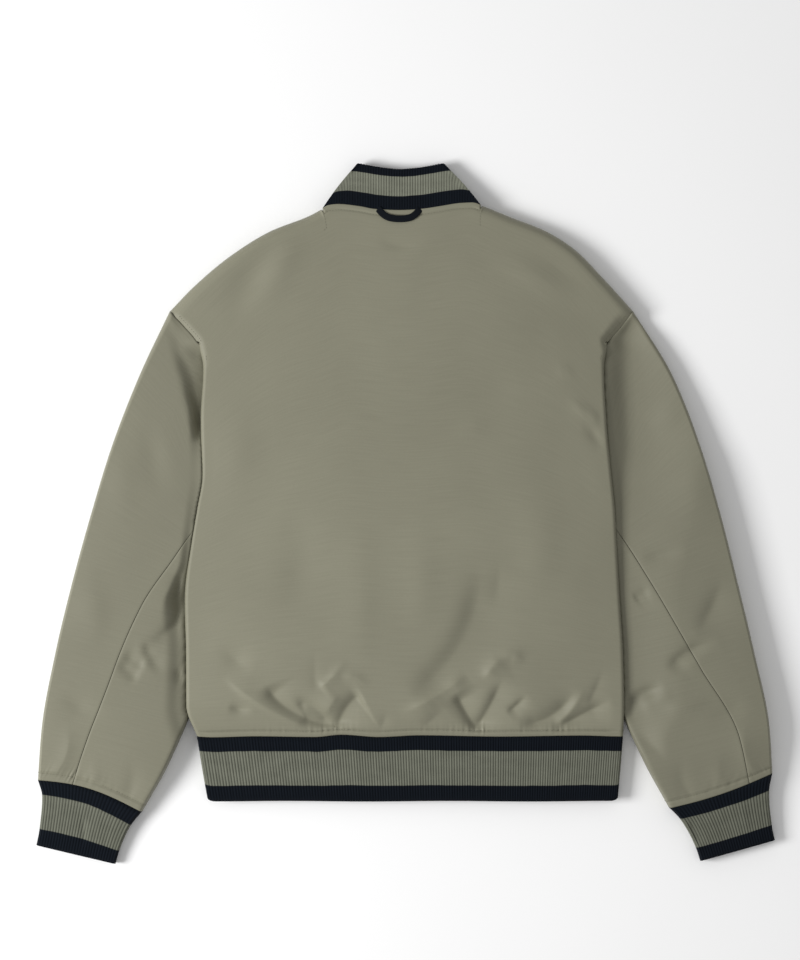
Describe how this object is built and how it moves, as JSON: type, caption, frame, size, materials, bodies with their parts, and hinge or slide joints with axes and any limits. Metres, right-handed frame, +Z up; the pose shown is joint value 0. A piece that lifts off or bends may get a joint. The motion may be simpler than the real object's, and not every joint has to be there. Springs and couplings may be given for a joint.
{
  "type": "varsity jacket",
  "caption": "Hip-length varsity jacket in plain twill with striped rib collar, cuffs and hem, press stud front, laid flat with its back uppermost.",
  "frame": {"origin": "centre of the bounding box's underside, on the surface that the jacket lies on", "axes": "+Y from hem to collar, +X across the jacket towards the wearer's right sleeve as the back is seen, +Z up off the surface, out of the jacket's back"},
  "size_m": [0.8646, 0.8191, 0.036],
  "materials": {
    "olive_twill": "satin-faced twill, grey olive",
    "striped_rib": "rib knit, olive with navy stripes",
    "navy_tape": "woven navy tape",
    "stud_metal": "dulled metal press studs"
  },
  "bodies": {
    "root": {"back": "olive_twill", "front_left": "olive_twill", "front_right": "olive_twill", "sleeve_upper_left": "olive_twill", "sleeve_upper_right": "olive_twill", "sleeve_under_left": "olive_twill", "sleeve_under_right": "olive_twill", "cuff_left": "striped_rib", "cuff_right": "striped_rib", "hem_rib": "striped_rib", "collar_rib": "striped_rib", "hanger_loop": "navy_tape", "stud_cap_1": "stud_metal", "stud_back_1": "stud_metal", "stud_cap_2": "stud_metal", "stud_back_2": "stud_metal", "stud_cap_3": "stud_metal", "stud_back_3": "stud_metal", "stud_cap_4": "stud_metal", "stud_back_4": "stud_metal", "stud_cap_5": "stud_metal", "stud_back_5": "stud_metal", "stud_cap_6": "stud_metal", "stud_back_6": "stud_metal"}
  },
  "joints": []
}
